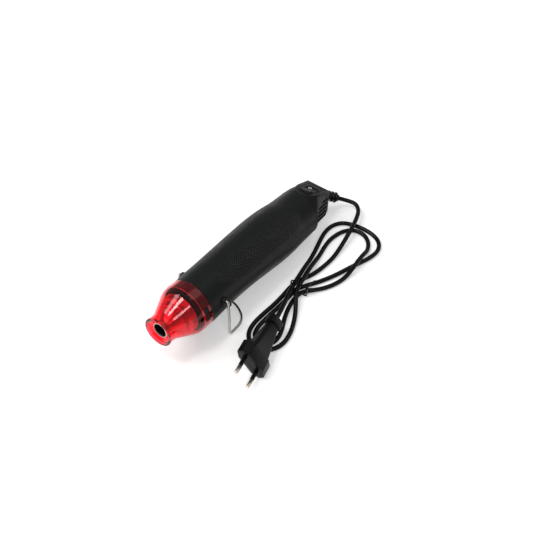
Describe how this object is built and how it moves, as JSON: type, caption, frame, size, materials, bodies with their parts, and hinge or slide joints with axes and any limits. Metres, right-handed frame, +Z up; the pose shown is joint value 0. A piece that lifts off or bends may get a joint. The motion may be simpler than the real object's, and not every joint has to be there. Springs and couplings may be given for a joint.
{
  "type": "embossing heat tool",
  "caption": "Slim hand-held embossing heat tool with a clear red nozzle cover, wire stand, rocker switch, vented tail and a lead tied in a loose hank.",
  "frame": {"origin": "middle of the tool's footprint on the surface it lies on, without the lead", "axes": "+X from the nozzle towards the tail, +Y to the far side, +Z up"},
  "size_m": [0.2724, 0.1188, 0.063],
  "materials": {
    "red_clear": "clear red moulded plastic",
    "steel": "drawn steel",
    "mica": "pressed mica",
    "heating_wire": "oxidised heating wire",
    "inner_plastic": "heat-resistant moulding",
    "component": "moulded component body",
    "black_shell": "fine matte black moulding",
    "board": "paper laminate",
    "gloss_black": "satin black",
    "brass": "stamped brass",
    "bright_steel": "bright plated wire",
    "soft_black": "semi-gloss flexible sheath",
    "wire_sheath": "insulated wire",
    "nickel": "nickel plate"
  },
  "bodies": {
    "housing": {"nozzle_cover": "red_clear", "air_tube": "steel", "mica_sleeve": "mica", "mica_core": "mica", "heater_coil": "heating_wire", "heater_carrier": "inner_plastic", "thermal_cutout": "component", "barrel_shell": "black_shell", "tail_shell": "black_shell", "motor_mount": "inner_plastic", "motor_can": "steel", "motor_end_cap": "inner_plastic", "rectifier_board": "board", "diodes": "component", "capacitor": "component", "switch_frame": "gloss_black", "switch_terminals": "brass", "housing_screws": "steel", "cord_gland": "soft_black", "inner_cable": "soft_black", "inner_wires": "wire_sheath", "cord_clamp": "inner_plastic", "clamp_screws": "steel", "power_cord": "soft_black", "cord_hank": "soft_black", "twist_tie": "soft_black", "plug_body": "soft_black", "plug_pins": "nickel", "plug_pin_sleeves": "soft_black"},
    "rocker": {"switch_rocker": "gloss_black"},
    "stand": {"stand_wire": "bright_steel"},
    "rotor": {"motor_shaft": "steel", "fan_impeller": "inner_plastic"}
  },
  "joints": [
    {"name": "switch_rock", "type": "hinge", "parent": "housing", "child": "rocker", "pos_m": [0.10458, 0, 0.03984], "axis": [0, -1, 0], "range_deg": [0, 22]},
    {"name": "stand_fold", "type": "hinge", "parent": "housing", "child": "stand", "pos_m": [-0.05934, 0, 0.04225], "axis": [0, 1, 0], "range_deg": [0, 90]},
    {"name": "fan_spin", "type": "hinge", "parent": "housing", "child": "rotor", "pos_m": [-0.02185, 0, 0.03335], "axis": [0.9978, 0, -0.0663], "continuous": true}
  ]
}
